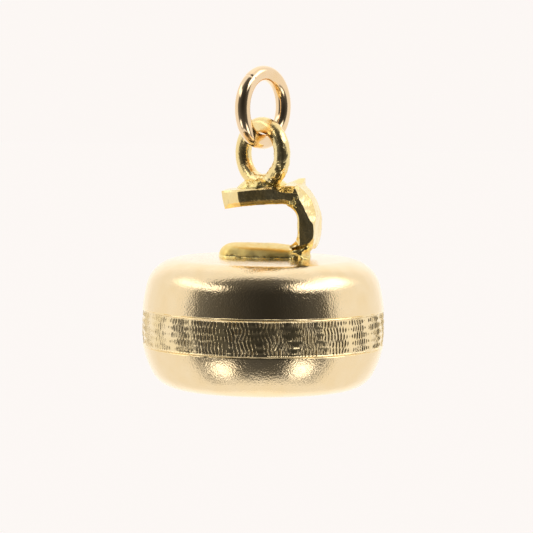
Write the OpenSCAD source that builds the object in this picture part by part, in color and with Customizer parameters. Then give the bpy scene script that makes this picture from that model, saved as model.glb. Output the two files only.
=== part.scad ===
// A small gold charm in the shape of a curling stone: a hollow stone of two soldered shells with an
// engraved striking band, a hand-made C handle on a strip foot, and a bail with a jump ring on top.
// Millimetres. The origin is the centre of the flat base, +Z runs up the stone's axis, and the
// handle lies along X with its riser on the +X side and its grip open towards -X.

/* [Stone] */
// Diameter of the stone at its girth
stone_d = 12; // [10.8:0.1:14.6]
// Height of the stone, from its base to its flat top
stone_h = 6.3; // [5.2:0.1:7.8]
// Height of the widest point above the base
girth_z = 2.9; // [2.4:0.05:3.3]
// Radius of the arc that runs from the girth up to the shoulder
upper_side_r = 9.4; // [7:0.1:14]
// Radius of the shoulder round the flat top
shoulder_r = 1.6; // [1.2:0.05:2.2]
// Radius of the arc that runs from the girth down to the heel
lower_side_r = 4.5; // [3.7:0.1:8]
// Radius of the heel round the flat base
heel_r = 1.4; // [1:0.05:1.8]
// Wall of the two shells
wall = 0.45; // [0.35:0.05:0.6]
// Diameter of the vent that lets the soldering gases out, under the handle's foot
vent_d = 0.5; // [0.3:0.05:0.8]

/* [Striking band] */
// Height of the band's middle above the base, which is also the height of the seam
band_z = 2.97; // [2.7:0.01:3.3]
// Height of the band
band_h = 1.93; // [1.4:0.01:2.2]
// Depth of the rebate in the shells, at the girth, that the band lies in
band_depth = 0.25; // [0.2:0.01:0.35]
// Width of the raised border along each edge of the band
border_w = 0.13; // [0.08:0.01:0.25]
// Depth of the engraved field below the borders
field_depth = 0.04; // [0.02:0.01:0.07]

/* [Handle] */
// Length of the foot, a strip with two round ends
foot_len = 4.26; // [3.6:0.02:5.2]
// Width of the foot
foot_w = 2.28; // [2:0.02:2.8]
// Thickness of the foot
foot_t = 0.62; // [0.5:0.02:0.8]
// Radius that rounds the two long upper edges of the foot
foot_edge_r = 0.14; // [0.08:0.01:0.3]
// Place of the foot's centre along the handle
foot_x = -0.1; // [-0.3:0.05:0.3]
// Width of the strip that the riser and the grip are made of
strip_w = 2; // [1.6:0.05:2.6]
// Thickness of the riser
riser_t = 0.85; // [0.7:0.01:1.05]
// Thickness of the grip
grip_t = 0.88; // [0.74:0.01:1.1]
// Radius inside the two bends of the C
bend_r = 0.85; // [0.7:0.01:1]
// How far the riser's outer face stands out past the foot's edge
riser_overhang = 0.7; // [0.4:0.02:0.8]
// Height of the gap between the foot and the grip
handle_gap = 2.17; // [1.9:0.01:2.7]
// Angle round the upper bend at which the grip is soldered to the riser
joint_angle = 67; // [55:1:78]
// Radius to which the grip is arched along its length
grip_arch_r = 18; // [14:0.5:30]
// Length of the grip's underside, from the bend to the free end
grip_len = 2.92; // [2.2:0.02:3.6]

/* [Bail and jump ring] */
// Outer diameter of the bail
bail_d = 3.6; // [3.2:0.05:4.4]
// Diameter of the bail's wire
bail_wire = 0.8; // [0.65:0.01:0.95]
// Depth to which the bail is filed flat where it sits on the grip
bail_seat = 0.2; // [0.1:0.01:0.35]
// Place of the bail along the handle
bail_x = -0.1; // [-0.4:0.05:0.4]
// Turn of the bail's plane about the stone's axis, from the handle's line
bail_turn = -35; // [-45:1:-20]
// Outer diameter of the jump ring
ring_d = 4.1; // [3.8:0.05:5]
// Diameter of the jump ring's wire
ring_wire = 0.75; // [0.6:0.01:0.8]
// Turn of the jump ring's plane about the stone's axis, from the handle's line
ring_turn = 66; // [50:1:70]
// Clearance between the jump ring and the bail's wire
ring_clear = 0.04; // [0.02:0.01:0.08]

/* [Solder] */
// Thickness of the solder bead inside the shells, along the seam
seam_bead_t = 0.12; // [0.08:0.01:0.2]
// Height of that bead on the wall
seam_bead_h = 0.7; // [0.4:0.05:1]
// Width of the solder line round the foot
foot_line_w = 0.12; // [0.08:0.01:0.2]
// Height of that line
foot_line_h = 0.1; // [0.06:0.01:0.16]
// How far the solder under the riser runs out past the foot's edge
neck_spur = 0.35; // [0.25:0.01:0.6]
// Angle of the wedge of solder between the riser and the grip
joint_solder = 2; // [1:0.5:4]
// Length of the solder lump behind that wedge, round the bend
joint_lump = 14; // [8:1:20]
// Radius of the solder mound round the bail, at its base
mound_base_r = 1.25; // [1:0.05:1.5]
// Radius of that mound at its top
mound_top_r = 0.7; // [0.6:0.05:0.9]
// Height of that mound on the grip
mound_h = 0.38; // [0.25:0.01:0.45]

/* [Hidden] */

$fn = 96;
arc_steps = 10;
over = 1;

stone_r = stone_d / 2;
upper_h = stone_h - girth_z;
band_low = band_z - band_h / 2;
band_top = band_z + band_h / 2;
band_in_r = stone_r - band_depth;
cavity_r = band_in_r - wall;

deck_z = stone_h + foot_t;
foot_nose_r = foot_w / 2;
foot_nose_x = (foot_len - foot_w) / 2;
foot_edge_x = foot_x + foot_len / 2;
bend_out_r = bend_r + riser_t;
bend_x = foot_edge_x + riser_overhang - bend_out_r;
low_bend = [bend_x, deck_z + bend_r];
top_bend = [bend_x, deck_z + handle_gap - bend_r];
toe_angle = -75;
arch_start = 92;
arch_end = arch_start + grip_len / grip_arch_r * 180 / PI;
arch_c = top_bend + (bend_r - grip_arch_r) * ray(arch_start);
arch_top_r = grip_arch_r + grip_t;
neck_low_angle = -asin(bend_r / bend_out_r);
neck_base_angle = neck_low_angle - 10;
neck_solder_in = foot_edge_x - 0.6 * foot_nose_r;

bail_major = (bail_d - bail_wire) / 2;
grip_top_z = arch_c[1] + sqrt(pow(arch_top_r, 2) - pow(bail_x - arch_c[0], 2));
grip_slope = asin((arch_c[0] - bail_x) / arch_top_r);
bail_z = grip_top_z - bail_seat + bail_d / 2;
pivot_z = bail_z + bail_major;
ring_major = (ring_d - ring_wire) / 2;
ring_z = pivot_z - bail_wire / 2 - ring_clear - ring_wire / 2 + ring_major;

shell_gold = [0.86, 0.69, 0.44];
handle_gold = [0.93, 0.77, 0.33];
solder_gold = [0.95, 0.84, 0.48];
ring_gold = [0.88, 0.64, 0.42];

// A unit vector at angle a
function ray(a) = [cos(a), sin(a)];

// Points along an arc about c, from angle a to angle b
function arc(c, r, a, b, steps = arc_steps) = [for (i = [0:steps]) c + r * ray(a + (b - a) * i / steps)];

// One quarter of the stone's section, from the girth up to a flat at height h: a side arc of
// radius side, tangent to a corner arc of radius corner. inset moves the whole quarter inwards.
function quarter(h, side, corner, inset = 0) =
    let(side_x = stone_r - side)
    let(corner_x = side_x + sqrt(pow(side - corner, 2) - pow(h - corner, 2)))
    let(tangent = atan2(h - corner, corner_x - side_x))
    concat(
        arc([side_x, 0], side - inset, 0, tangent),
        arc([corner_x, h - corner], corner - inset, tangent, 90)
    );

// The same list, back to front
function reversed(list) = [for (i = [len(list) - 1:-1:0]) list[i]];

// The stone's half section, pushed inwards by inset
module stone_section(inset = 0) {
    lower = [for (p = quarter(girth_z, lower_side_r, heel_r, inset)) [p[0], girth_z - p[1]]];
    upper = [for (p = quarter(upper_h, upper_side_r, shoulder_r, inset)) [p[0], girth_z + p[1]]];
    polygon(concat([[0, inset]], reversed(lower), upper, [[0, stone_h - inset]]));
}

// The hollow inside both shells: the section pushed in by the wall, straight behind the band
module cavity_section() {
    intersection() {
        stone_section(wall);
        square([cavity_r, stone_h]);
    }
}

// A half-plane strip of the section between two heights, from radius r outwards
module ring_slot(low, top, r = 0) {
    translate([r, low]) square([stone_d, top - low]);
}

module shell_section(low, top) {
    difference() {
        intersection() {
            stone_section();
            ring_slot(low, top);
        }
        cavity_section();
        ring_slot(band_low, band_top, band_in_r);
    }
}

module upper_shell() {
    color(shell_gold)
    difference() {
        rotate_extrude() shell_section(band_z, stone_h + over);
        translate([0, 0, stone_h - wall - over]) cylinder(d = vent_d, h = wall + 2 * over);
    }
}

module lower_shell() {
    color(shell_gold)
    rotate_extrude() shell_section(-over, band_z);
}

// The engraved strip in the shells' rebate, with a raised border along each edge
module striking_band() {
    color(shell_gold)
    rotate_extrude()
    difference() {
        intersection() {
            stone_section();
            ring_slot(band_low, band_top, band_in_r);
        }
        difference() {
            ring_slot(band_low + border_w, band_top - border_w, band_in_r);
            stone_section(field_depth);
        }
    }
}

// Solder that ran through the seam and stands as a bead inside
module seam_solder() {
    color(solder_gold)
    translate([0, 0, band_z])
    rotate_extrude()
    polygon([
        [cavity_r, -seam_bead_h / 2],
        [cavity_r, seam_bead_h / 2],
        [cavity_r - seam_bead_t, seam_bead_h / 4],
        [cavity_r - seam_bead_t, -seam_bead_h / 4]
    ]);
}

// A column on the foot's outline, grown outwards all round
module foot_column(height, grow = 0) {
    nose_r = foot_nose_r + grow;
    translate([foot_x, 0, stone_h]) {
        for (side = [-1, 1]) translate([side * foot_nose_x, 0, 0]) cylinder(r = nose_r, h = height);
        translate([-foot_nose_x, -nose_r, 0]) cube([2 * foot_nose_x, 2 * nose_r, height]);
    }
}

// The foot's section across the handle, with its two long upper edges rounded
module foot_section() {
    edge_c = [foot_w / 2 - foot_edge_r, foot_t - foot_edge_r];
    polygon(concat(
        [[-foot_w / 2, 0], [foot_w / 2, 0]],
        arc(edge_c, foot_edge_r, 0, 90),
        arc([-edge_c[0], edge_c[1]], foot_edge_r, 90, 180)
    ));
}

module handle_foot() {
    color(handle_gold)
    intersection() {
        foot_column(foot_t);
        translate([foot_x, 0, stone_h])
        rotate([90, 0, 90]) linear_extrude(height = 2 * foot_len, center = true) foot_section();
    }
}

// The line of solder that shows round the foot
module foot_solder() {
    color(solder_gold)
    difference() {
        foot_column(foot_line_h, foot_line_w);
        foot_column(foot_t);
    }
}

// An outline in the handle's X-Z plane, given the strip's width along Y
module strip(width = strip_w) {
    rotate([90, 0, 0]) linear_extrude(height = width, center = true) children();
}

// The riser: a C-bent strip that stands on the foot and turns over at the top
module gooseneck() {
    color(handle_gold)
    strip()
    polygon(concat(
        arc(top_bend, bend_out_r, joint_angle, 0),
        arc(low_bend, bend_out_r, 0, neck_low_angle),
        [[(low_bend + bend_r * ray(toe_angle))[0], deck_z]],
        arc(low_bend, bend_r, toe_angle, 0),
        arc(top_bend, bend_r, 0, joint_angle)
    ));
}

// Solder that fills in under the riser's outer curve and runs down past the foot's edge to the stone
module neck_solder() {
    color(solder_gold)
    difference() {
        strip(strip_w - 0.2)
        polygon(concat(
            [[neck_solder_in, stone_h], [neck_solder_in, deck_z]],
            arc(low_bend, bend_out_r, neck_low_angle, neck_base_angle, 4),
            [[foot_edge_x + neck_spur, stone_h]]
        ));
        translate([foot_x + foot_nose_x, 0, stone_h - over]) {
            cylinder(r = foot_nose_r, h = foot_t + 2 * over);
            cylinder(r = foot_nose_r + foot_line_w, h = foot_line_h + over);
        }
    }
}

// Where the ray at angle a from the upper bend's centre meets the grip's top
function on_grip_top(a) =
    let(d = grip_arch_r - bend_r)
    let(turn = arch_start - a)
    top_bend + (sqrt(pow(arch_top_r, 2) - pow(d * sin(turn), 2)) - d * cos(turn)) * ray(a);

// The grip: the arched strip above the gap, its free end cut square to the arch
module grip_bar() {
    corner = on_grip_top(joint_angle + joint_solder);
    corner_angle = atan2(corner[1] - arch_c[1], corner[0] - arch_c[0]);
    color(handle_gold)
    strip()
    polygon(concat(
        arc(top_bend, bend_r, joint_angle + joint_solder, arch_start, 4),
        arc(arch_c, grip_arch_r, arch_start, arch_end),
        arc(arch_c, arch_top_r, arch_end, corner_angle)
    ));
}

// The wedge of solder between riser and grip, with a lump behind it that follows the bend
module grip_solder() {
    start = joint_angle + joint_solder;
    top = on_grip_top(start);
    color(solder_gold)
    strip(strip_w - 0.1)
    polygon(concat(
        [top_bend + bend_r * ray(start), top_bend + (norm(top - top_bend) - 0.03) * ray(start)],
        arc(top_bend, bend_out_r, joint_angle - joint_lump, joint_angle, 4),
        [top_bend + bend_r * ray(joint_angle)]
    ));
}

// A wire ring that stands upright, centred on the origin
module upright_ring(major, wire) {
    rotate([90, 0, 0]) rotate_extrude() translate([major, 0]) circle(d = wire);
}

module bail_ring() {
    translate([bail_x, 0, bail_z]) rotate([0, 0, bail_turn]) upright_ring(bail_major, bail_wire);
}

module bail_loop() {
    color(handle_gold)
    difference() {
        bail_ring();
        grip_bar();
    }
}

// The mound of solder that holds the bail to the grip
module bail_solder() {
    color(solder_gold)
    difference() {
        intersection() {
            translate([bail_x, 0, grip_top_z])
            rotate([0, -grip_slope, 0])
            translate([0, 0, -mound_h / 2])
            cylinder(r1 = mound_base_r + (mound_base_r - mound_top_r) / 2, r2 = mound_top_r, h = 1.5 * mound_h);
            translate([bail_x, 0, grip_top_z]) cube([4 * mound_base_r, strip_w - 0.04, 4 * mound_h], center = true);
        }
        bail_ring();
        grip_bar();
    }
}

module jump_ring() {
    color(ring_gold)
    translate([bail_x, 0, ring_z]) rotate([0, 0, ring_turn]) upright_ring(ring_major, ring_wire);
}

upper_shell();
lower_shell();
striking_band();
seam_solder();
handle_foot();
foot_solder();
gooseneck();
neck_solder();
grip_bar();
grip_solder();
bail_loop();
bail_solder();
jump_ring();
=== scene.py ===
# %% [markdown]
# # A gold curling stone charm
# This lesson dresses a finished CAD model of a small gold charm. The CAD holds every size, so each
# piece here is built on the numbers it gives, in metres, in the same place. The charm is a hollow stone
# of two shells with an engraved band, a C handle, a bail and a jump ring.

# %% Load the frame
import math

import bmesh
import bpy
from mathutils import Matrix, Vector, noise


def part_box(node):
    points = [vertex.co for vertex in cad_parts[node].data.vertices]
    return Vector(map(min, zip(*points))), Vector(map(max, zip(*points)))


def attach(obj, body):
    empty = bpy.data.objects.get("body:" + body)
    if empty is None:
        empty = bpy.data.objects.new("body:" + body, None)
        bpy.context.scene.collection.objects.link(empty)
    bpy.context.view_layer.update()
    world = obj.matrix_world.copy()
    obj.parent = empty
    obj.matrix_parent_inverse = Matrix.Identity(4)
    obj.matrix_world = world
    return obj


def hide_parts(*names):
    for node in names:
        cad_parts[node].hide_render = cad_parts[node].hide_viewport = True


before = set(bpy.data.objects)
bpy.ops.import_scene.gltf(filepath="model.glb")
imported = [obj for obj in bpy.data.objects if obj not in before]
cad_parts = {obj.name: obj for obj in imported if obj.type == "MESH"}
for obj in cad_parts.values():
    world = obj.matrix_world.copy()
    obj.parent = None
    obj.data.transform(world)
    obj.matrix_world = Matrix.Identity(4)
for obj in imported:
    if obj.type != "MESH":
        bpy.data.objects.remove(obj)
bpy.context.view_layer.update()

MM = 0.001

# %% [markdown]
# The camera comes first, because every finish is judged through it. A charm this small is seen from
# about 15 cm with a long lens, from just above its handle, so the outline is almost without
# perspective. The handle is turned by an eighth of a right angle. The charm stays as the CAD has it, and
# the camera goes round it by that turn instead.

# %% Camera
VIEW_TURN = math.radians(12.5)
CAMERA_REACH = 149.2 * MM
CAMERA_HEIGHT = 18.79 * MM
AIM_HEIGHT = 5.94 * MM
AIM_RIGHT = 0.14 * MM
CAMERA_ROLL = math.radians(0.5)
LENS = 205.5
SENSOR_WIDTH = 36

view_right = Vector((math.cos(VIEW_TURN), math.sin(VIEW_TURN), 0))
view_near = Vector((math.sin(VIEW_TURN), -math.cos(VIEW_TURN), 0))
camera_data = bpy.data.cameras.new("camera")
camera_data.lens = LENS
camera_data.sensor_width = SENSOR_WIDTH
camera_data.clip_start = 5 * MM
camera_data.clip_end = 10
camera = bpy.data.objects.new("camera", camera_data)
bpy.context.scene.collection.objects.link(camera)
camera.location = view_near * CAMERA_REACH + view_right * AIM_RIGHT + Vector((0, 0, CAMERA_HEIGHT))
aim = view_right * AIM_RIGHT + Vector((0, 0, AIM_HEIGHT))
look = (aim - camera.location).to_track_quat("-Z", "Y").to_matrix().to_4x4()
camera.matrix_world = Matrix.Translation(camera.location) @ look @ Matrix.Rotation(CAMERA_ROLL, 4, "Z")
bpy.context.scene.camera = camera
print("camera at, mm:", [round(value / MM, 1) for value in camera.matrix_world.translation])

# %% [markdown]
# Polished gold has hardly any colour of its own to show: it is a mirror, so the room around it is the
# picture. Jewellery is set in a white tent with one open side for the camera. The tent gives the pale
# sides, the opening gives the dark heart of the stone, and a lamp on each side gives the streaks. It
# could be built from sheets and area lamps, but here it is painted on the world with a few nodes,
# which renders without noise. Each patch of it is a soft-edged box in degrees round the camera's side
# and degrees up, and the camera itself sees a plain pale backdrop instead of it.

# %% Helpers for the tent
world = bpy.data.worlds.new("light_tent")
bpy.context.scene.world = world
world.use_nodes = True
sky = world.node_tree
sky.nodes.clear()


def sky_math(operation, first, second=0.0, third=0.0):
    """One Math node of the tent: numbers are set on the sockets, and other nodes are linked."""
    node = sky.nodes.new("ShaderNodeMath")
    node.operation = operation
    for socket, value in zip(node.inputs, (first, second, third)):
        if isinstance(value, bpy.types.NodeSocket):
            sky.links.new(value, socket)
        else:
            socket.default_value = value
    return node.outputs[0]


def inside(value, low, high, soft):
    """1 where value lies between low and high, falling to 0 over soft on both sides."""
    parts = []
    for edge, sign in ((low, 1), (high, -1)):
        away = sky_math("MULTIPLY_ADD", value, sign / soft, 0.5 - sign * edge / soft)
        step = sky.nodes.new("ShaderNodeMapRange")
        step.interpolation_type = "SMOOTHSTEP"
        sky.links.new(away, step.inputs["Value"])
        parts.append(step.outputs[0])
    return sky_math("MULTIPLY", parts[0], parts[1])


def patch(turn_range, rise_range, soft, soft_rise=None):
    """A soft-edged box of the tent, in degrees round the camera and degrees up."""
    across = inside(turn, *turn_range, soft)
    upwards = inside(rise, *rise_range, soft_rise or soft)
    return sky_math("MULTIPLY", across, upwards)


def blend_light(base, mask, value):
    """base where mask is 0 and value where it is 1."""
    node = sky.nodes.new("ShaderNodeMix")
    sky.links.new(mask, node.inputs["Factor"])
    for socket, item in ((node.inputs["A"], base), (node.inputs["B"], value)):
        if isinstance(item, bpy.types.NodeSocket):
            sky.links.new(item, socket)
        else:
            socket.default_value = item
    return node.outputs[0]


print("world for the tent:", world.name)

# %% [markdown]
# The world's own coordinates give the direction of each ray. Turned by the camera's place round the
# stone, and read as two angles, they say where a patch of the tent is: turn is 0 on the camera's side
# and grows to the right, and rise is 0 at the horizon and grows upwards.

# %% Directions in the tent
coordinates = sky.nodes.new("ShaderNodeTexCoord")
to_camera = sky.nodes.new("ShaderNodeVectorRotate")
to_camera.rotation_type = "Z_AXIS"
to_camera.inputs["Angle"].default_value = -VIEW_TURN
sky.links.new(coordinates.outputs["Generated"], to_camera.inputs["Vector"])
split = sky.nodes.new("ShaderNodeSeparateXYZ")
sky.links.new(to_camera.outputs[0], split.inputs[0])
toward = sky_math("MULTIPLY", split.outputs["Y"], -1)
turn = sky_math("DEGREES", sky_math("ARCTAN2", split.outputs["X"], toward))
rise = sky_math("DEGREES", sky_math("ARCSINE", split.outputs["Z"]))
print("direction nodes made, tent now has", len(sky.nodes), "nodes")

# %% [markdown]
# The tent's walls are almost white, brighter behind the charm and dimmer right overhead. The opening
# shows a dark room that is darkest a little right of the camera, and grows lighter towards the tent.
# The lamps are laid over the opening's edges, two above and two below, and each is drawn as a long
# streak on the round side of the stone.

# %% The tent's light
WALL_LIGHT = 0.97
BACK_LIGHT = 1.15
ROOF_LIGHT = 0.70
BACK_TURN = 150
ROOF_RISE = 84
OPENING_TURN = (-74, 69)
OPENING_RISE = (-55, 83)
ROOM_LIGHT = 0.028
ROOM_GAIN = 0.12
# The room's darkest direction and its reach, in degrees, for turn and then for rise.
ROOM_TURN = (5, 68)
ROOM_RISE = (14, 75)
# Each lamp: its range of turn, its range of rise, the softness of its edge, and its strength.
LAMPS = (
    ((-112, -46), (29, 43), 12, 2.0),
    ((38, 112), (31, 54), 13, 2.6),
    ((-60, -34), (-50, -32), 10, 2.0),
    ((33, 56), (-50, -30), 10, 2.2),
)

behind = inside(sky_math("ABSOLUTE", turn), BACK_TURN, 400, 30)
walls = blend_light(WALL_LIGHT, behind, BACK_LIGHT)
dim_roof = blend_light(walls, inside(rise, ROOF_RISE, 200, 8), ROOF_LIGHT)
opening = patch(OPENING_TURN, OPENING_RISE, 12, 7)
sags = []
for direction, (darkest, reach) in ((turn, ROOM_TURN), (rise, ROOM_RISE)):
    away = sky_math("MULTIPLY", sky_math("ADD", direction, -darkest), 1 / reach)
    sags.append(sky_math("POWER", away, 2))
room = sky_math("MULTIPLY_ADD", sky_math("ADD", *sags), ROOM_GAIN, ROOM_LIGHT)
light = blend_light(dim_roof, opening, room)
for turn_range, rise_range, soft, strength in LAMPS:
    light = blend_light(light, patch(turn_range, rise_range, soft), strength)
print("lamps in the tent:", len(LAMPS))

# %% [markdown]
# The tent is for the gold, not for the background. A Light Path node tells the camera's own rays from
# all the others, so the camera gets an even pale backdrop, and only what is reflected gets the tent.

# %% What the camera sees of it
TENT_WHITE = (1.0, 0.985, 0.965, 1)
BACKDROP = (0.975, 0.932, 0.905, 1)

reflected = sky.nodes.new("ShaderNodeBackground")
reflected.inputs["Color"].default_value = TENT_WHITE
sky.links.new(light, reflected.inputs["Strength"])
seen = sky.nodes.new("ShaderNodeBackground")
seen.inputs["Color"].default_value = BACKDROP
paths = sky.nodes.new("ShaderNodeLightPath")
choose = sky.nodes.new("ShaderNodeMixShader")
sky.links.new(paths.outputs["Is Camera Ray"], choose.inputs["Fac"])
sky.links.new(reflected.outputs[0], choose.inputs[1])
sky.links.new(seen.outputs[0], choose.inputs[2])
output = sky.nodes.new("ShaderNodeOutputWorld")
sky.links.new(choose.outputs[0], output.inputs["Surface"])
bpy.context.scene.view_settings.view_transform = "Standard"
print("light tent:", len(sky.nodes), "nodes")

# %% [markdown]
# The charm hangs, so nothing may touch it from below. A plain pale floor still belongs to the set. It
# lies well under the stone, it glows a little so that it stays as pale as the backdrop, and it is kept
# out of the gold's reflections, where the tent already stands for it.

# %% Floor
FLOOR_DROP = 60 * MM
FLOOR_SIZE = 3.0
FLOOR_GLOW = 0.985

floor_bm = bmesh.new()
bmesh.ops.create_grid(floor_bm, x_segments=1, y_segments=1, size=FLOOR_SIZE / 2)
bmesh.ops.translate(floor_bm, verts=floor_bm.verts, vec=(0, 0, -FLOOR_DROP))
floor_mesh = bpy.data.meshes.new("floor")
floor_bm.to_mesh(floor_mesh)
floor_bm.free()
floor = bpy.data.objects.new("floor", floor_mesh)
bpy.context.scene.collection.objects.link(floor)
floor.visible_glossy = False
floor_look = bpy.data.materials.new("pale_floor")
floor_look.use_nodes = True
floor_shader = floor_look.node_tree.nodes["Principled BSDF"]
floor_shader.inputs["Base Color"].default_value = (0.02, 0.02, 0.02, 1)
floor_shader.inputs["Roughness"].default_value = 0.9
floor_shader.inputs["Emission Color"].default_value = BACKDROP
floor_shader.inputs["Emission Strength"].default_value = FLOOR_GLOW
floor_shader.inputs["Specular IOR Level"].default_value = 0.0
floor_mesh.materials.append(floor_look)
print("floor, mm below the stone:", FLOOR_DROP / MM)

# %% [markdown]
# The golds of the charm differ a little in colour, because alloys and solders do. The stone is a pale
# champagne gold, the handle a yellower one, solder is yellower still and never quite smooth, and the
# jump ring has a rose tone. One function makes them all: a metal whose colour and roughness drift a
# little from place to place, with three reliefs as a bump: a slow ripple that bends the reflections,
# a fine grain, and hair scratches that are ten times as long as they are wide.

# %% One gold
DRIFT_SIZE = 0.9
MATT_SIZE = 0.25
RIPPLE_SIZE = 0.8
SCRATCH_SIZE = 0.07
SCRATCH_STRETCH = (1, 1, 0.1)
# A noise texture's values hardly leave this range.
NOISE_LOW, NOISE_HIGH = 0.3, 0.7


def gold(name, color, deep, roughness, grain, grain_size, scratch, ripple=0.0, cut_matt=0.0):
    """A gold finish. color drifts to deep in clouds, and grain, scratch and ripple are bump heights in mm.
    cut_matt is the roughness that the attribute named cut adds where a graver cut the metal."""
    look = bpy.data.materials.new(name)
    look.use_nodes = True
    tree = look.node_tree
    shader = tree.nodes["Principled BSDF"]
    shader.inputs["Metallic"].default_value = 1.0
    place = tree.nodes.new("ShaderNodeTexCoord").outputs["Object"]

    def cloud(size, detail, stretch=(1, 1, 1)):
        """Noise with clouds of a size in mm."""
        mapping = tree.nodes.new("ShaderNodeMapping")
        mapping.inputs["Scale"].default_value = [axis / (size * MM) for axis in stretch]
        tree.links.new(place, mapping.inputs["Vector"])
        texture = tree.nodes.new("ShaderNodeTexNoise")
        texture.inputs["Scale"].default_value = 1.0
        texture.inputs["Detail"].default_value = detail
        tree.links.new(mapping.outputs[0], texture.inputs["Vector"])
        return texture.outputs["Fac"]

    def ranged(value, low, high):
        """Noise stretched to the range from low to high."""
        node = tree.nodes.new("ShaderNodeMapRange")
        node.inputs["From Min"].default_value = NOISE_LOW
        node.inputs["From Max"].default_value = NOISE_HIGH
        node.inputs["To Min"].default_value = low
        node.inputs["To Max"].default_value = high
        tree.links.new(value, node.inputs["Value"])
        return node.outputs[0]

    drift = tree.nodes.new("ShaderNodeMix")
    drift.data_type = "RGBA"
    tree.links.new(ranged(cloud(DRIFT_SIZE, 3), 0, 1), drift.inputs["Factor"])
    drift.inputs["A"].default_value = (*color, 1)
    drift.inputs["B"].default_value = (*deep, 1)
    tree.links.new(drift.outputs["Result"], shader.inputs["Base Color"])
    matt = ranged(cloud(MATT_SIZE, 4), roughness * 0.8, roughness * 1.25)
    if cut_matt:
        cut = tree.nodes.new("ShaderNodeAttribute")
        cut.attribute_name = "cut"
        more = tree.nodes.new("ShaderNodeMath")
        more.operation = "MULTIPLY_ADD"
        tree.links.new(cut.outputs["Fac"], more.inputs[0])
        more.inputs[1].default_value = cut_matt
        tree.links.new(matt, more.inputs[2])
        matt = more.outputs[0]
    tree.links.new(matt, shader.inputs["Roughness"])

    normal = None
    reliefs = (
        (ripple, cloud(RIPPLE_SIZE, 1)),
        (grain, cloud(grain_size, 2)),
        (scratch, cloud(SCRATCH_SIZE, 1, SCRATCH_STRETCH)),
    )
    for height, pattern in reliefs:
        if height:
            bump = tree.nodes.new("ShaderNodeBump")
            bump.inputs["Distance"].default_value = height * MM
            tree.links.new(pattern, bump.inputs["Height"])
            if normal:
                tree.links.new(normal, bump.inputs["Normal"])
            normal = bump.outputs[0]
    tree.links.new(normal, shader.inputs["Normal"])
    return look


print("relief sizes, mm:", RIPPLE_SIZE, "ripple,", SCRATCH_SIZE, "scratches")

# %% [markdown]
# Six finishes come from that function. The stone and the jump ring are polished, so their roughness is
# low. The handle was polished less, and the foot only filed. The engraved band is the stone's gold,
# with roughness added where the graver cut it. Solder froze as it flowed, so its grain stands highest.

# %% The six finishes
STONE_GOLD = gold("stone_gold", (0.93, 0.745, 0.475), (0.915, 0.71, 0.42), roughness=0.12,
                  grain=0.011, grain_size=0.085, scratch=0.0006, ripple=0.012)
ENGRAVED_GOLD = gold("engraved_gold", (0.95, 0.77, 0.48), (0.93, 0.73, 0.40), roughness=0.13,
                     grain=0.006, grain_size=0.085, scratch=0.0006, ripple=0.008, cut_matt=0.30)
HANDLE_GOLD = gold("handle_gold", (0.95, 0.78, 0.42), (0.93, 0.69, 0.28), roughness=0.17,
                   grain=0.012, grain_size=0.09, scratch=0.002, ripple=0.02)
FILED_GOLD = gold("filed_gold", (0.96, 0.77, 0.32), (0.94, 0.68, 0.20), roughness=0.42,
                  grain=0.006, grain_size=0.10, scratch=0.006, ripple=0.02)
SOLDER_GOLD = gold("solder_gold", (0.96, 0.80, 0.38), (0.93, 0.72, 0.24), roughness=0.22,
                   grain=0.016, grain_size=0.10, scratch=0.001)
RING_GOLD = gold("ring_gold", (0.92, 0.70, 0.46), (0.90, 0.66, 0.39), roughness=0.10,
                 grain=0.0012, grain_size=0.08, scratch=0.0006)
finishes = (STONE_GOLD, ENGRAVED_GOLD, HANDLE_GOLD, FILED_GOLD, SOLDER_GOLD, RING_GOLD)
print("gold finishes:", [look.name for look in finishes])

# %% [markdown]
# Every piece is finished the same way, so one function does it: doubles merged, normals turned
# outwards, edges sharper than a given angle kept crisp, and the piece hung on its CAD body in
# place of the plain node. The lathe is the second shared tool. A spin would do the same work, but it
# is slow over thousands of steps, while a grid that is rolled up is made at once.

# %% Finishing a piece
DOUBLES = 1e-5


def finish_piece(bm, name, body, look, replaces, crisp=40):
    """Turns a bmesh in millimetres into a finished piece that stands for the CAD node replaces."""
    bmesh.ops.remove_doubles(bm, verts=bm.verts, dist=DOUBLES)
    bmesh.ops.recalc_face_normals(bm, faces=bm.faces)
    bmesh.ops.scale(bm, vec=(MM, MM, MM), verts=bm.verts)
    mesh = bpy.data.meshes.new(name)
    bm.to_mesh(mesh)
    bm.free()
    mesh.shade_smooth()
    mesh.set_sharp_from_angle(angle=math.radians(crisp))
    mesh.materials.append(look)
    piece = bpy.data.objects.new(name, mesh)
    bpy.context.scene.collection.objects.link(piece)
    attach(piece, body)
    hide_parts(replaces)
    print(f"{name}: {len(mesh.polygons)} faces")


def box_mm(node):
    """A CAD node's lowest and highest corners, in millimetres."""
    low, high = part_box(node)
    return low / MM, high / MM


def lathe(bm, profile, steps, closed=True):
    """Turns a profile of (radius, height) points once round the Z axis.
    A flat grid is rolled up: its columns go round the axis, and its rows take the profile's points."""
    outline = profile + profile[:1] if closed else profile
    rows = len(outline) - 1
    grid = bmesh.ops.create_grid(bm, x_segments=steps, y_segments=rows, size=1.0)["verts"]
    for vert in grid:
        angle = math.tau * round((vert.co.x + 1) / 2 * steps) / steps
        radius, height = outline[round((vert.co.y + 1) / 2 * rows)]
        vert.co = (radius * math.cos(angle), radius * math.sin(angle), height)
    bmesh.ops.remove_doubles(bm, verts=bm.verts, dist=DOUBLES)


print("doubles are merged below, mm:", DOUBLES)

# %% [markdown]
# The stone itself is raised from two cups of sheet that meet at the girth, and both are turned on the
# lathe. The section is two arcs above the girth and two below, the same as in the CAD: a long flat side
# arc runs into a tighter shoulder, and the two are tangent. Too few steps on a polished form show at
# once as kinks in the reflections, so the arcs get plenty of points.

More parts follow.
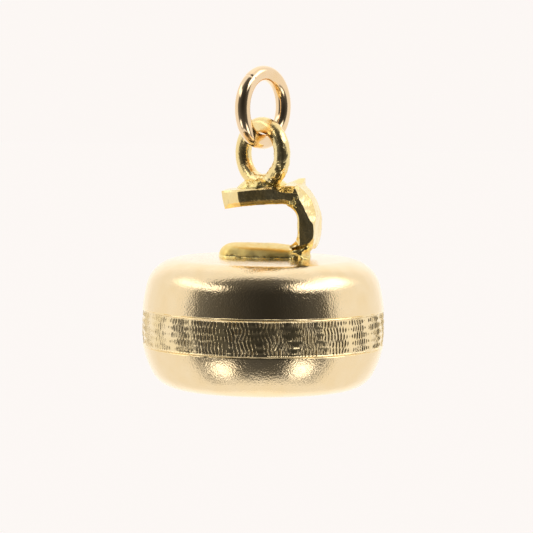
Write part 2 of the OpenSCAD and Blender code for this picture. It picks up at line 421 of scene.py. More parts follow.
# %% The stone's section
STONE_R = 6.0
GIRTH_Z = 2.9
UPPER_SIDE_R = 9.4
SHOULDER_R = 1.6
LOWER_SIDE_R = 4.5
HEEL_R = 1.4
WALL = 0.45
VENT_R = 0.25
BAND_DEPTH = 0.25
ARC_STEPS = 28
LATHE_STEPS = 288

upper_low, upper_high = box_mm("upper_shell")
band_low_corner, band_high_corner = box_mm("striking_band")
seam_z, stone_top = upper_low.z, upper_high.z
band_low, band_top = band_low_corner.z, band_high_corner.z
rebate_r = STONE_R - BAND_DEPTH
cavity_r = rebate_r - WALL
print("seam, top and band, mm:", [round(z, 3) for z in (seam_z, stone_top, band_low, band_top)])


def arc(center, radius, start, end, steps=ARC_STEPS):
    """Points along an arc, with its angles in radians."""
    angles = [start + (end - start) * i / steps for i in range(steps + 1)]
    return [(center[0] + radius * math.cos(a), center[1] + radius * math.sin(a)) for a in angles]


def quarter(height, side, corner, inset=0.0):
    """From the girth up to a flat at height: a side arc, then a corner arc tangent to it."""
    side_x = STONE_R - side
    corner_x = side_x + math.sqrt((side - corner) ** 2 - (height - corner) ** 2)
    tangent = math.atan2(height - corner, corner_x - side_x)
    sides = arc((side_x, 0), side - inset, 0, tangent)
    return sides + arc((corner_x, height - corner), corner - inset, tangent, math.pi / 2)[1:]


def half_section(inset=0.0):
    """The stone's outer line from the middle of the base to the middle of the top."""
    lower = [(r, GIRTH_Z - z) for r, z in quarter(GIRTH_Z, LOWER_SIDE_R, HEEL_R, inset)]
    upper = [(r, GIRTH_Z + z) for r, z in quarter(stone_top - GIRTH_Z, UPPER_SIDE_R, SHOULDER_R, inset)]
    return lower[::-1] + upper[1:]


def radius_at(height):
    """The outer line's radius at a height."""
    line = half_section()
    for (r0, z0), (r1, z1) in zip(line, line[1:]):
        if z0 <= height <= z1:
            return r0 + (r1 - r0) * (height - z0) / (z1 - z0)
    return 0.0


# %% [markdown]
# A flat top pressed in thin sheet is never quite flat: polishing leaves it with a low crown, and that
# is what lets it mirror the foot. The crown is a soft step that lifts the top's points and fades out
# before the shoulder. A few more points are laid across the flat, which the CAD spans in one step.

# %% The crown of the top
CROWN = 0.13
CROWN_FULL_R = 2.6
CROWN_END_R = 5.3
FLAT_R = 4.18
FLAT_STEPS = 20


def smooth(value, low, high):
    """0 below low, 1 above high, and a smooth step between them."""
    t = min(max((value - low) / (high - low), 0.0), 1.0)
    return t * t * (3 - 2 * t)


def crowned(points):
    """Lifts the flat top a little, in a soft step, as a polished hollow form always is."""
    lifted = []
    for r, z in points:
        step = CROWN * (1 - smooth(r, CROWN_FULL_R, CROWN_END_R)) if z > GIRTH_Z else 0.0
        lifted.append((r, z + step))
    return lifted


outer = half_section()
flat_top = [(FLAT_R + (VENT_R - FLAT_R) * i / FLAT_STEPS, stone_top) for i in range(1, FLAT_STEPS)]
inner = [(min(r, cavity_r), z) for r, z in half_section(WALL)]
print("crown on the top, mm:", CROWN)

# %% [markdown]
# Each shell is one closed profile: up the outside, over the top to the vent, and back along the
# inside, with a step at the girth where the band lies. The vent let the soldering gases out, and the
# foot covers it.

# %% Upper shell
upper_profile = [(rebate_r, seam_z), (rebate_r, band_top), (radius_at(band_top), band_top)]
above_band = [point for point in outer if point[1] > band_top]
upper_profile += crowned(above_band + flat_top + [(VENT_R, stone_top)])
upper_profile += [(VENT_R, stone_top - WALL)]
upper_profile += [point for point in reversed(inner) if point[1] > seam_z]
upper_profile += [(cavity_r, seam_z)]
shell_bm = bmesh.new()
lathe(shell_bm, upper_profile, LATHE_STEPS)
finish_piece(shell_bm, "stone_upper", "stone", STONE_GOLD, "upper_shell")

# %% Lower shell
lower_profile = [(0, 0)] + [point for point in outer if point[1] < band_low]
lower_profile += [(radius_at(band_low), band_low), (rebate_r, band_low)]
lower_profile += [(rebate_r, seam_z), (cavity_r, seam_z)]
lower_profile += [point for point in reversed(inner) if point[1] < seam_z] + [(0, WALL)]
shell_bm = bmesh.new()
lathe(shell_bm, lower_profile, LATHE_STEPS, closed=False)
finish_piece(shell_bm, "stone_lower", "stone", STONE_GOLD, "lower_shell")

# %% [markdown]
# The two shells are soldered along the seam, and a low bead of the solder stays inside, where nobody
# sees it. The CAD's own bead has the right shape already, so it stays and only gets the solder's look.

# %% Solder bead inside the seam
seam_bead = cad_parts["seam_solder"].data
seam_bead.materials.clear()
seam_bead.materials.append(SOLDER_GOLD)
print("seam bead's finish:", seam_bead.materials[0].name)

# %% [markdown]
# The striking band is wriggle work: the engraver rocks a flat graver from corner to corner while
# pushing it on, which leaves a row of short upright cuts. The row swells and closes again, so five rows
# one above the other make a net of lens shapes, and what is left between them stays polished. The cuts
# are real geometry here, because they are deep enough to break up the reflections. The band is lathed
# with many fine steps, and then each point of its face is pressed in by a formula. A hand never
# repeats itself, so slow noise bends the rows, sways the cuts and changes how hard each one bites.

# %% Striking band: its sizes
# How many cuts and lenses lie round the band, how many rows of them one above the other, and how deep
# the field, the cuts and the two bright lines are, in millimetres.
TICKS = 200
STEPS_PER_TICK = 13
LENSES = 23
ROWS = 5
BORDER = 0.13
BORDER_STEPS = 5
FIELD_STEPS = 24
FIELD = 0.080
CUT = 0.040
LINE_CUT = 0.040
LINE_PLACE = 0.055
LINE_WIDTH = 0.024
# Where the ridge and the groove of a cut lie, and how wide they are, as shares of one cut.
RIDGE_PLACE, RIDGE_WIDTH = 0.58, 0.12
GROOVE_PLACE, GROOVE_WIDTH = 0.32, 0.11
RIDGE_SHARE = 0.85
field_height = band_top - band_low - 2 * BORDER
row_height = field_height / ROWS
print("engraved rows:", ROWS, "of", round(row_height, 3), "mm")

# %% Striking band: the engraver's pattern
def hand(a, b, c=0.0):
    """A small steady unevenness between -1 and 1, such as a hand leaves."""
    return noise.noise(Vector((a, b, c)))


def engraving(angle, height):
    """How far the band's face stands out from its section there, in mm, and how much it is cut."""
    x, y = math.cos(angle), math.sin(angle)
    side = 1 if height > (band_low + band_top) / 2 else -1
    edge = min(height - band_low, band_top - height)
    line_place = LINE_PLACE + 0.018 * hand(x * 9, y * 9, side)
    line = -LINE_CUT * math.exp(-((edge - line_place) / LINE_WIDTH) ** 2)
    in_field = smooth(edge, BORDER * 0.8, BORDER * 1.15)
    if in_field == 0:
        return line, 0.0
    place = (height - band_low - BORDER) / row_height
    row = min(max(math.floor(place), 0), ROWS - 1)
    across = 2 * (place - row) - 1
    lens = angle / math.tau * LENSES + 0.22 * hand(x * 5, y * 5, row * 1.7) + 0.06 * row
    swell = abs(math.sin(math.pi * lens))
    reach = swell * (1.02 + 0.30 * hand(x * 14, y * 14, row * 3.1)) + 0.04
    inside_lens = smooth(reach - abs(across), 0.0, 0.18)
    slant = 0.9 * hand(x * 6, y * 6, row * 5.3 + 40) * across
    slant += 0.5 * hand(x * 3, y * 3, row * 9.1) + 0.37 * row
    beat = (angle / math.tau * TICKS + slant) % 1.0
    ridge = math.exp(-((beat - RIDGE_PLACE) / RIDGE_WIDTH) ** 2)
    groove = math.exp(-((beat - GROOVE_PLACE) / GROOVE_WIDTH) ** 2)
    bite = 0.85 + 0.5 * hand(x * 30, y * 30, row * 4.7)
    cut = inside_lens * bite * CUT * (RIDGE_SHARE * ridge - groove)
    pinch = (1 - swell) ** 1.5 * math.exp(-(across / 0.35) ** 2)
    dash = 1.1 * CUT * pinch * smooth(hand(x * 11, y * 11, row * 2.3 + 9), -0.3, 0.0)
    return line + in_field * (-FIELD + cut + dash), in_field * inside_lens * max(ridge, groove)


print("cuts round the band:", TICKS)

# %% [markdown]
# The strip's profile follows the stone's section, with close points in the borders and even ones in
# the field between them. The pattern stays inside the CAD's own radius, so the highest ridges are
# pressed back to it, as the lap would take them off. How much each point was cut is kept as an
# attribute, and the engraved finish reads its roughness from that.

# %% Striking band: the strip
FACE_MARGIN = 0.05
border_heights = [BORDER * i / BORDER_STEPS for i in range(BORDER_STEPS)]
field_heights = [BORDER + field_height * i / FIELD_STEPS for i in range(FIELD_STEPS + 1)]
face_heights = [band_low + height for height in border_heights + field_heights]
face_heights += [band_top - height for height in reversed(border_heights)]
band_profile = [(radius_at(height), height) for height in face_heights]
band_profile += [(rebate_r, band_top), (rebate_r, band_low)]
band_bm = bmesh.new()
lathe(band_bm, band_profile, TICKS * STEPS_PER_TICK)
band_limit = min(*-band_low_corner.xy, *band_high_corner.xy)
cut_layer = band_bm.verts.layers.float.new("cut")
for vert in band_bm.verts:
    x, y, z = vert.co
    radius = math.hypot(x, y)
    if radius > rebate_r + FACE_MARGIN:
        height, matt = engraving(math.atan2(y, x), z)
        pressed = min(radius + height, band_limit) / radius
        vert.co = (x * pressed, y * pressed, z)
        vert[cut_layer] = matt
print("band's radius is held to, mm:", round(band_limit, 4))
finish_piece(band_bm, "engraved_band", "stone", ENGRAVED_GOLD, "striking_band", crisp=75)

# %% [markdown]
# The handle starts with its foot, a thick strip of sheet with round ends. A hand filed it: the top is a
# little domed, the edge is rounded over, and the file and the solder left nicks along its side. A disc
# is lathed, drawn out to a strip, and its points are then moved by the dome and the nicks.

# %% Foot: its sizes, and a disc drawn out to a strip
FOOT_STEPS = 260
FOOT_HALF = 1.14
FOOT_EDGE_R = 0.44
FOOT_DOME = 0.13
FOOT_TILT = 0.10
NICK = 0.05
NICK_HEIGHT = 0.24

foot_low, foot_high = box_mm("handle_foot")
foot_x = (foot_low.x + foot_high.x) / 2
foot_r = (foot_high.x - foot_low.x) / 2
deck_z = foot_high.z


def to_strip(bm):
    """Turns a lathed disc into a strip with two round ends: its sides go straight back and forth."""
    straight = foot_r - FOOT_HALF
    for vert in bm.verts:
        x, y, z = vert.co
        angle = math.atan2(y, x)
        excess = math.hypot(x, y) - foot_r
        reach = FOOT_HALF + max(excess, -FOOT_HALF)
        shift = straight * min(max(math.cos(angle) * 1.9, -1), 1) * min((foot_r + excess) / foot_r, 1)
        vert.co = (shift + reach * math.cos(angle), reach * math.sin(angle), z)


print("foot, mm:", round(2 * foot_r, 3), "long and", 2 * FOOT_HALF, "wide")

# %% Foot
foot_bm = bmesh.new()
foot_edge = (foot_r - FOOT_EDGE_R, deck_z - FOOT_EDGE_R)
side = [(foot_r, foot_low.z + (foot_edge[1] - foot_low.z) * i / 8) for i in range(8)]
rim = arc(foot_edge, FOOT_EDGE_R, 0, math.pi / 2, 12)
deck = [(foot_edge[0] * (1 - i / 14), deck_z) for i in range(1, 15)]
lathe(foot_bm, [(0, foot_low.z)] + side + rim + deck, FOOT_STEPS, closed=False)
to_strip(foot_bm)
for vert in foot_bm.verts:
    x, y, z = vert.co
    share = smooth(z, foot_low.z, deck_z)
    nick = NICK * hand(x * 6, y * 6) * math.exp(-((z - foot_low.z - NICK_HEIGHT) / 0.05) ** 2)
    vert.co.y *= 1 + 0.04 * hand(x * 1.5, z * 4) + nick
    dome = FOOT_DOME * (1 - (y / FOOT_HALF) ** 2) * (1 - 0.6 * smooth(x, 0.2, 1.4))
    tilt = FOOT_TILT * y / FOOT_HALF * (1 - smooth(x, 1.2, 2.0))
    vert.co.z += share * (dome + tilt + 0.02 * hand(x * 1.2, y * 1.2))
bmesh.ops.translate(foot_bm, verts=foot_bm.verts, vec=(foot_x, 0, 0))
finish_piece(foot_bm, "foot_strip", "stone", FILED_GOLD, "handle_foot", crisp=70)

# %% [markdown]
# Solder drew into the joint between the foot and the stone, and left a thin hollow line all round. It
# is a ring of a quarter-round section, lathed and then drawn out by the same function as the foot, so
# the two always fit. It is lifted with the crown, and a slow wave keeps it from looking machined.

# %% Foot's solder
FILLET = 0.12
FILLET_LAP = 0.08
FILLET_SINK = 0.03
fillet_bm = bmesh.new()
fillet_arc = [(foot_r + FILLET + r, z) for r, z in arc((0, FILLET), FILLET, math.pi * 1.5, math.pi, 6)]
fillet_line = [(foot_r - FILLET_LAP, 0)] + fillet_arc + [(foot_r - FILLET_LAP, FILLET)]
lathe(fillet_bm, fillet_line, FOOT_STEPS)
to_strip(fillet_bm)
for vert in fillet_bm.verts:
    x, y, z = vert.co
    vert.co.z += CROWN + 0.04 * hand(x * 4, y * 4)
bmesh.ops.translate(fillet_bm, verts=fillet_bm.verts, vec=(foot_x, 0, foot_low.z - FILLET_SINK))
finish_piece(fillet_bm, "foot_solder_line", "stone", SOLDER_GOLD, "foot_solder")

# %% [markdown]
# The riser and the grip are lengths of flat strip. A strip that is bent and filed by hand changes its
# section all the way along, so it is built as a row of section loops that are bridged one to the next.
# Each loop is a rectangle with its corners cut off by as much as the file took there, and the loops
# are close enough together that small dents can be pressed into the surface afterwards. The lumps of
# solder are built in the same way, from loops that shrink to a round end on both sides.

# %% Sections and sweeps
# Points on each of a section's eight sides, from its lower near corner round.
SIDE_POINTS = (4, 16, 12, 24, 4, 14, 4, 18)
# A pillow's end loops keep this share of the way, so that they don't shrink to nothing.
PILLOW_REACH = 0.9995
END_INSET = 0.05


def section(inner, outer, half, near_cut, far_cut, low_near, low_far):
    """A strip's section as (out, across) points, from inner to outer and half to each side.
    near_cut and low_near are (out, across) taken off the outer and the inner near corner, and far_cut
    and low_far are the same amount both ways off the far ones."""
    corners = [
        (inner, -half + low_near[1]), (inner + low_near[0], -half),
        (outer - near_cut[0], -half), (outer, -half + near_cut[1]),
        (outer, half - far_cut), (outer - far_cut, half),
        (inner + low_far, half), (inner, half - low_far),
    ]
    points = []
    for (x0, y0), (x1, y1), count in zip(corners, corners[1:] + corners[:1], SIDE_POINTS):
        points += [(x0 + (x1 - x0) * i / count, y0 + (y1 - y0) * i / count) for i in range(count)]
    return points


def pillow(outline, y_low, y_high, rows=30, blunt=5):
    """Section loops of a lump: an outline of (x, z) points from y_low to y_high, with round ends."""
    middle_x = sum(x for x, z in outline) / len(outline)
    middle_z = sum(z for x, z in outline) / len(outline)
    loops = []
    for i in range(rows + 1):
        t = math.sin(math.pi * (i / rows - 0.5)) * PILLOW_REACH
        size = (1 - abs(t) ** blunt) ** 0.5
        y = (y_low + y_high) / 2 + t * (y_high - y_low) / 2
        loops.append([(middle_x + (x - middle_x) * size, y, middle_z + (z - middle_z) * size)
                      for x, z in outline])
    return loops


def even(outline, count):
    """The same closed outline with count points at even steps."""
    closed = outline + outline[:1]
    lengths = [math.dist(a, b) for a, b in zip(closed, closed[1:])]
    points = []
    for i in range(count):
        left = sum(lengths) * i / count
        for a, b, length in zip(closed, closed[1:], lengths):
            if left <= length:
                break
            left -= length
        share = left / length if length else 0
        points.append((a[0] + (b[0] - a[0]) * share, a[1] + (b[1] - a[1]) * share))
    return points


def sweep(bm, loops):
    """Bridges a row of closed loops of points, one to the next, and fills both ends."""
    rims = []
    for points in loops:
        verts = [bm.verts.new(point) for point in points]
        rims.append([bm.edges.new(pair) for pair in zip(verts, verts[1:] + verts[:1])])
    for first, second in zip(rims, rims[1:]):
        bmesh.ops.bridge_loops(bm, edges=first + second)
    for rim_edges in (rims[0], rims[-1]):
        bmesh.ops.edgenet_fill(bm, edges=rim_edges)
        fan = [face for face in rim_edges[0].link_faces if len(face.verts) == len(rim_edges)]
        bmesh.ops.inset_region(bm, faces=fan, thickness=END_INSET, use_even_offset=True)
        bmesh.ops.poke(bm, faces=fan)


def table(value, rows):
    """Reads a table of (position, amount) rows at value, with straight lines between the rows."""
    if value <= rows[0][0]:
        return rows[0][1]
    for (a, low), (b, high) in zip(rows, rows[1:]):
        if value <= b:
            return low + (high - low) * (value - a) / (b - a)
    return rows[-1][1]


def dent(bm, amount, size, keep=None):
    """Presses dents of an amount and a size in mm into a surface, along its own normals.
    keep gives the share of them that a place takes."""
    bm.normal_update()
    moves = []
    for vert in bm.verts:
        share = keep(vert.co) if keep else 1.0
        if share > 0:
            moves.append((vert, vert.normal * (amount * share * noise.noise(vert.co / size))))
    for vert, move in moves:
        vert.co += move


print("points in a strip's section:", sum(SIDE_POINTS))

# %% [markdown]
# The riser is a strip bent into a C: it stands on the foot, curves out past the foot's end, and comes
# back in under the grip. The loops follow the bend, and tables say how much metal is left at each
# angle: the near edge was filed back at the lower bend, and the strip is thicker at the top, where it
# was filed less. The foot cuts the lowest loops short, so that the bend grows out of it.

# %% Riser: its sizes
HALF_STRIP = 1.0
BEND_R = 0.85
BEND_OUT_R = 1.70
RISER_OVERHANG = 0.7
HANDLE_GAP = 2.17
JOINT_ANGLE = 67
bend_x = foot_high.x + RISER_OVERHANG - BEND_OUT_R
low_bend_z = deck_z + BEND_R
top_bend_z = deck_z + HANDLE_GAP - BEND_R

# Rows of (angle round the bend, amount): the straight between the bends is the angles 0 to 10.
# NEAR_EDGE is the radius at which the near face ends and a facet begins, CUT_ACROSS is how far that
# facet reaches across the strip, INNER_EDGE is what is cut off the inner near corner, and OUTER is the
# outer face's radius.
NEAR_EDGE = ((-60, 0.95), (-40, 1.10), (-30, 1.30), (-20, 1.55), (-10, 1.66), (0, 1.68), (8, 1.64),
             (13, 1.50), (20, 1.42), (34, 1.36), (50, 1.40), (60, 1.45), (68, 1.62), (78, 1.84))
INNER_EDGE = ((-60, 0.45), (-35, 0.34), (-18, 0.16), (0, 0.10), (78, 0.10))
OUTER = ((-60, 1.70), (10, 1.69), (32, 1.68), (54, 1.76), (68, 1.86), (77, 1.96))
CUT_ACROSS = ((-60, 0.50), (-25, 0.40), (-12, 0.20), (0, 0.12), (10, 0.25), (22, 0.62), (50, 0.72),
              (64, 0.55), (77, 0.20))
STRAIGHT = 10
RISER_START = -58
RISER_STEPS = 90
FAR_CUT = 0.10
LOW_FAR_CUT = 0.06
# The least metal left between two cuts, and how deep the lowest loops reach into the foot.
THINNEST = 0.02
FOOT_LAP = 0.06
print("riser's bends at heights, mm:", round(low_bend_z, 3), round(top_bend_z, 3))

# %% Riser
riser_loops = []
for i in range(RISER_STEPS + 1):
    step = RISER_START + (JOINT_ANGLE + STRAIGHT - RISER_START) * i / RISER_STEPS
    if step < 0:
        theta, z = math.radians(step), low_bend_z
    elif step < STRAIGHT:
        theta, z = 0.0, low_bend_z + (top_bend_z - low_bend_z) * step / STRAIGHT
    else:
        theta, z = math.radians(step - STRAIGHT), top_bend_z
    outer_r = table(step, OUTER)
    if step < 0:
        outer_r = min(outer_r, (low_bend_z - deck_z + FOOT_LAP) / max(math.sin(-theta), 0.05))
    near = outer_r - min(table(step, NEAR_EDGE), outer_r - THINNEST)
    near_cut = (near, table(step, CUT_ACROSS))
    inner_cut = min(table(step, INNER_EDGE), outer_r - near - BEND_R - THINNEST)
    low_near = (inner_cut, inner_cut)
    shape = section(BEND_R, outer_r, HALF_STRIP, near_cut, FAR_CUT, low_near, LOW_FAR_CUT)
    riser_loops.append([(bend_x + out * math.cos(theta), across, z + out * math.sin(theta))
                        for out, across in shape])
riser_bm = bmesh.new()
sweep(riser_bm, riser_loops)
dent(riser_bm, 0.020, 0.55)
dent(riser_bm, 0.010, 0.16)
finish_piece(riser_bm, "riser_strip", "stone", HANDLE_GOLD, "gooseneck", crisp=50)

# %% [markdown]
# A generous lump of solder fills the corner where the riser's outer curve leaves the foot, and it ran
# out over the stone in a small spur on the near side. Its outline is drawn from the foot's edge to the
# riser's heel, and the loops of that outline are pushed out where the spur is. Coarse and fine dents
# give it the skin of solder that froze as it flowed.

# %% Solder under the riser
HEEL_ANGLE = -22
BLOB_POINTS = 44
SPUR = 0.42
SPUR_Y = -0.75
SPUR_WIDTH = 0.13
foot_edge_x = foot_high.x
heel_angle = math.radians(HEEL_ANGLE)
heel = (bend_x + BEND_OUT_R * math.cos(heel_angle), low_bend_z + BEND_OUT_R * math.sin(heel_angle))
blob_line = [
    (foot_edge_x - 0.60, foot_low.z), (foot_edge_x - 0.62, deck_z - 0.05),
    (foot_edge_x - 0.20, deck_z + 0.06), (heel[0] - 0.20, heel[1] + 0.02),
    (heel[0] - 0.05, heel[1] - 0.10), (foot_edge_x + 0.20, foot_low.z + 0.40),
    (foot_edge_x + 0.12, foot_low.z + 0.20), (foot_edge_x + 0.24, foot_low.z),
]
blob_bm = bmesh.new()
sweep(blob_bm, pillow(even(blob_line, BLOB_POINTS), -1.04, 0.96, rows=40, blunt=6))
for vert in blob_bm.verts:
    x, y, z = vert.co
    spur = math.exp(-((y - SPUR_Y) / SPUR_WIDTH) ** 2) * smooth(x, foot_edge_x - 0.1, foot_edge_x + 0.3)
    vert.co.x += SPUR * spur * (1 - smooth(z, foot_low.z + 0.16, foot_low.z + 0.30))
dent(blob_bm, 0.07, 0.25)
dent(blob_bm, 0.025, 0.10)
finish_piece(blob_bm, "riser_solder", "stone", SOLDER_GOLD, "neck_solder")

# %% [markdown]
# The grip is a second strip, arched along its length and open at its far end. It keeps the CAD's two
# radii, and its loops follow the arch from the free end to the joint above the riser's bend. There its
# underside dips into the bend. The file changed it along the way: the free end is cut askew, the near
# face bulges, the top is a little crowned, and its far corner rises towards the joint.

# %% Grip: its arch
GRIP_T = 0.88
GRIP_R = 18.0
ARCH_START = 92.0
GRIP_LEN = 2.92
GRIP_STEPS = 78
arch_end = ARCH_START + math.degrees(GRIP_LEN / GRIP_R)
arch_x = bend_x + (BEND_R - GRIP_R) * math.cos(math.radians(ARCH_START))
arch_z = top_bend_z + (BEND_R - GRIP_R) * math.sin(math.radians(ARCH_START))


def grip_top(x):
    """The height of the arched grip's top at x."""
    return arch_z + math.sqrt((GRIP_R + GRIP_T) ** 2 - (x - arch_x) ** 2)


print("grip's top over the stone's middle, mm:", round(grip_top(0.0), 3))

# %% Grip
# Degrees that the last loop goes past the joint, the share of the bend that the underside follows, the
# slant of the free end and where it starts, and what the file left on the faces, in millimetres.
PAST_JOINT = 2.7
DIP = 0.55
END_SKEW = 0.64
END_SKEW_FROM = 1.0
BULGE = 0.05
TOP_TILT = 0.05
TOP_CROWN = 0.04
CORNER_RISE = 0.26
FAR_TOP_CUT = 0.08
LOW_NEAR_CUT = (0.24, 0.20)

grip_loops = []
start = math.radians(arch_end)
end = math.radians(ARCH_START - PAST_JOINT)
for i in range(GRIP_STEPS + 1):
    a = start + (end - start) * (i / GRIP_STEPS)
    x_here = arch_x + GRIP_R * math.cos(a)
    bend_lift = 0.0
    if x_here > bend_x - 0.03:
        away = x_here - bend_x
        under = top_bend_z + math.sqrt(max(BEND_R ** 2 - min(away, BEND_R * 0.98) ** 2, 0))
        bend_lift = under - (arch_z + GRIP_R * math.sin(a))
    under_side = GRIP_R + min(bend_lift, 0.0) * DIP
    turned = END_SKEW * min(max((-x_here - END_SKEW_FROM) / 0.95, 0.0), 1.0)
    facet = smooth(x_here, 0.55, 1.25)
    near_cut = (0.09 + 0.26 * facet, 0.10 + 0.22 * facet)
    shape = section(under_side, GRIP_R + GRIP_T, HALF_STRIP, near_cut, FAR_TOP_CUT, LOW_NEAR_CUT,
                    LOW_FAR_CUT)
    loop = []
    for out, across in shape:
        near_share = max(-across, 0)
        across += turned * near_share
        bulge = BULGE * (1 - ((out - GRIP_R - GRIP_T / 2) / (GRIP_T / 2)) ** 2) * near_share ** 4
        across -= bulge * 0.5
        x = arch_x + out * math.cos(a)
        z = arch_z + out * math.sin(a)
        top_share = smooth(out, GRIP_R + 0.5, GRIP_R + GRIP_T)
        z += top_share * (TOP_TILT * across + TOP_CROWN * (1 - across ** 2))
        z += CORNER_RISE * top_share * smooth(across, 0.2, 1.0) * smooth(x, 0.9, 1.7)
        loop.append((x, across, z))
    grip_loops.append(loop)
grip_bm = bmesh.new()
sweep(grip_bm, grip_loops)
dent(grip_bm, 0.016, 0.5)
dent(grip_bm, 0.008, 0.15)
finish_piece(grip_bm, "grip_strip", "stone", HANDLE_GOLD, "grip_bar", crisp=50)

# %% [markdown]
# Where the riser meets the grip, the solder wasn't cleaned off: it stands in the corner as a speckled,
# pitted lump. Its outline is given as radius and angle round the upper bend, so it stays in the
# corner whatever the bend's place, and two sizes of deep dents make its skin.

# %% Solder of the grip's joint
LUMP_POINTS = 60
# Rows of (radius, angle) round the upper bend.
LUMP_LINE = ((0.86, 72), (1.20, 66), (1.60, 62), (1.66, 55), (1.30, 48), (1.02, 38), (0.86, 34),
             (0.86, 46), (0.86, 60))
joint_line = [(bend_x + r * math.cos(math.radians(t)), top_bend_z + r * math.sin(math.radians(t)))
              for r, t in LUMP_LINE]
lump_bm = bmesh.new()
sweep(lump_bm, pillow(even(joint_line, LUMP_POINTS), -1.06, 0.98, rows=44, blunt=8))
dent(lump_bm, 0.08, 0.20)
dent(lump_bm, 0.06, 0.085)
finish_piece(lump_bm, "grip_joint_solder", "stone", SOLDER_GOLD, "grip_solder")

# %% [markdown]
# The bail is a ring of round wire that stands on the grip in a mound of solder, and the jump ring is
# a second one that is closed through it. Each is one circle of wire, spun round its own centre. A
# torus would give the same shape, but a spin leaves room to make the wire uneven before it is turned
# into place: the torch left the bail rough, while the jump ring stayed smooth.

# %% Wire rings
WIRE_POINTS = 40


def wire_ring(wire_r, major, center, turned, around, along, uneven=None):
    """A ring of wire in millimetres, upright and turned about the Z axis. around and along are the
    points round the wire and along it, and uneven changes the ring before it is turned."""
    bm = bmesh.new()
    circle = bmesh.ops.create_circle(bm, segments=around, radius=wire_r)["verts"]
    bmesh.ops.rotate(bm, verts=circle, cent=(0, 0, 0), matrix=Matrix.Rotation(math.pi / 2, 3, "X"))
    bmesh.ops.translate(bm, verts=circle, vec=(major, 0, 0))
    bmesh.ops.spin(bm, geom=circle + bm.edges[:], cent=(0, 0, 0), axis=(0, 0, 1), dvec=(0, 0, 0),
                   angle=math.tau, steps=along, use_merge=True, use_duplicate=False)
    bmesh.ops.rotate(bm, verts=bm.verts, cent=(0, 0, 0), matrix=Matrix.Rotation(math.pi / 2, 3, "X"))
    if uneven:
        uneven(bm)
    turn_matrix = Matrix.Rotation(math.radians(turned), 3, "Z")
    bmesh.ops.rotate(bm, verts=bm.verts, cent=(0, 0, 0), matrix=turn_matrix)
    bmesh.ops.translate(bm, verts=bm.verts, vec=center)
    return bm


print("points round a wire:", WIRE_POINTS)

# %% [markdown]
# The bail stands across the grip with its foot sunk in the solder. The torch left its lower half and
# its right side rough, so the dents are kept to those, while the hole, where the jump ring rubs, and the
# top stay clean. The part below the grip's surface is cut away and the two cut ends are closed.

# %% Bail
BAIL_D = 3.6
BAIL_WIRE = 0.8
BAIL_TURN = -35
BAIL_STEPS = 150
BAIL_SINK = 0.3
CLEAN_SHARE = 0.15
bail_low, bail_high = box_mm("bail_loop")
bail_center = Vector(((bail_low.x + bail_high.x) / 2, 0, bail_high.z - BAIL_D / 2))
bail_major = (BAIL_D - BAIL_WIRE) / 2


def rough_bail(bm):
    """Solder on the lower half and file marks on the right side. The hole and the top stay clean."""
    def share(co):
        up = co.z / bail_major
        rough = smooth(-up, -0.7, 0.5) * smooth(co.x, -1.2, 0.6)
        return CLEAN_SHARE + (1 - CLEAN_SHARE) * rough
    dent(bm, 0.05, 0.35, share)
    dent(bm, 0.035, 0.13, share)


bail_bm = wire_ring(BAIL_WIRE / 2, bail_major, bail_center, BAIL_TURN, WIRE_POINTS, BAIL_STEPS,
                    rough_bail)
bail_end = grip_top(bail_center.x) - BAIL_SINK
bmesh.ops.bisect_plane(bail_bm, geom=bail_bm.verts[:] + bail_bm.edges[:] + bail_bm.faces[:],
                       dist=DOUBLES, plane_co=(0, 0, bail_end), plane_no=(0, 0, -1), clear_outer=True)
bmesh.ops.holes_fill(bail_bm, edges=[edge for edge in bail_bm.edges if edge.is_boundary], sides=0)
finish_piece(bail_bm, "bail_wire", "stone", HANDLE_GOLD, "bail_loop")

# %% [markdown]
# The mound is the pool of solder that holds the bail. It is lathed as a low dome, squeezed to the
# strip's width, and laid on the arched grip with the slope that the grip has there. Only what shows
# above the grip is dented, so its underside stays where the grip covers it.

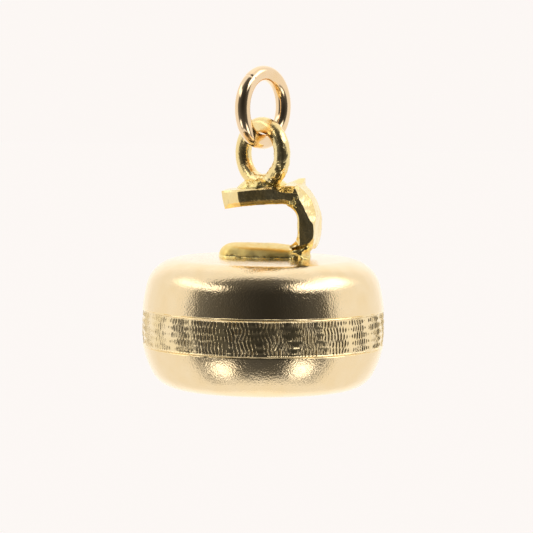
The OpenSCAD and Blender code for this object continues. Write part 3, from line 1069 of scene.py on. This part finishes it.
# %% Bail's solder mound
# The dome's radius, the radius and height of its top, how far its rim goes into the grip, and how
# steeply it falls.
MOUND_R = 1.25
MOUND_TOP_R = 0.30
MOUND_H = 0.38
MOUND_PEAK = 0.04
MOUND_SINK = 0.12
MOUND_FALL = 2.4
MOUND_SQUEEZE = 0.76
MOUND_Y = 0.02
MOUND_ROWS = 20
MOUND_STEPS = 150
mound_line = [(0, MOUND_H + MOUND_PEAK)]
for i in range(MOUND_ROWS + 1):
    share = i / MOUND_ROWS
    radius = MOUND_TOP_R + (MOUND_R - MOUND_TOP_R) * share
    mound_line.append((radius, MOUND_H * (1 - share ** MOUND_FALL)))
mound_line += [(MOUND_R, -MOUND_SINK), (0, -MOUND_SINK)]
mound_bm = bmesh.new()
lathe(mound_bm, mound_line, MOUND_STEPS, closed=False)
grip_slope = math.asin((arch_x - bail_center.x) / (GRIP_R + GRIP_T))
slope_matrix = Matrix.Rotation(-grip_slope, 3, "Y")
mound_place = (bail_center.x, MOUND_Y, grip_top(bail_center.x))
bmesh.ops.scale(mound_bm, vec=(1, MOUND_SQUEEZE, 1), verts=mound_bm.verts)
bmesh.ops.rotate(mound_bm, verts=mound_bm.verts, cent=(0, 0, 0), matrix=slope_matrix)
bmesh.ops.translate(mound_bm, verts=mound_bm.verts, vec=mound_place)


def on_grip(co):
    """1 for what shows above the grip's top, and 0 below it."""
    return 1.0 if co.z > grip_top(co.x) - 0.02 else 0.0


dent(mound_bm, 0.13, 0.55, on_grip)
dent(mound_bm, 0.035, 0.17, on_grip)
finish_piece(mound_bm, "bail_solder_mound", "stone", SOLDER_GOLD, "bail_solder")

# %% [markdown]
# The jump ring is plain round wire, closed through the bail, and it rides on the body that swings. Its
# place comes from its CAD box. Only its joint shows: a faint groove where the two ends of the wire
# meet. The ring is a few thousandths smaller than the CAD's, because a mesh of flat faces that is
# turned round its axis would otherwise stand out of the CAD's box.

# %% Jump ring
RING_D = 4.097
RING_WIRE = 0.75
RING_TURN = 66
RING_STEPS = 240
SEAM_ANGLE = 128
SEAM_DEPTH = 0.018
SEAM_WIDTH = 1.3
ring_low, ring_high = box_mm("jump_ring")
ring_center = (ring_low + ring_high) / 2


def closed_seam(bm):
    """A faint groove where the wire's two ends meet, high on one side."""
    for vert in bm.verts:
        around = math.degrees(math.atan2(vert.co.z, vert.co.x))
        groove = SEAM_DEPTH * math.exp(-((around - SEAM_ANGLE) / SEAM_WIDTH) ** 2)
        spoke = Vector((math.cos(math.radians(around)), 0, math.sin(math.radians(around))))
        core = spoke * (RING_D - RING_WIRE) / 2
        vert.co -= (vert.co - core).normalized() * groove


ring_bm = wire_ring(RING_WIRE / 2, (RING_D - RING_WIRE) / 2, ring_center, RING_TURN, WIRE_POINTS,
                    RING_STEPS, closed_seam)
finish_piece(ring_bm, "jump_ring_wire", "ring", RING_GOLD, "jump_ring")
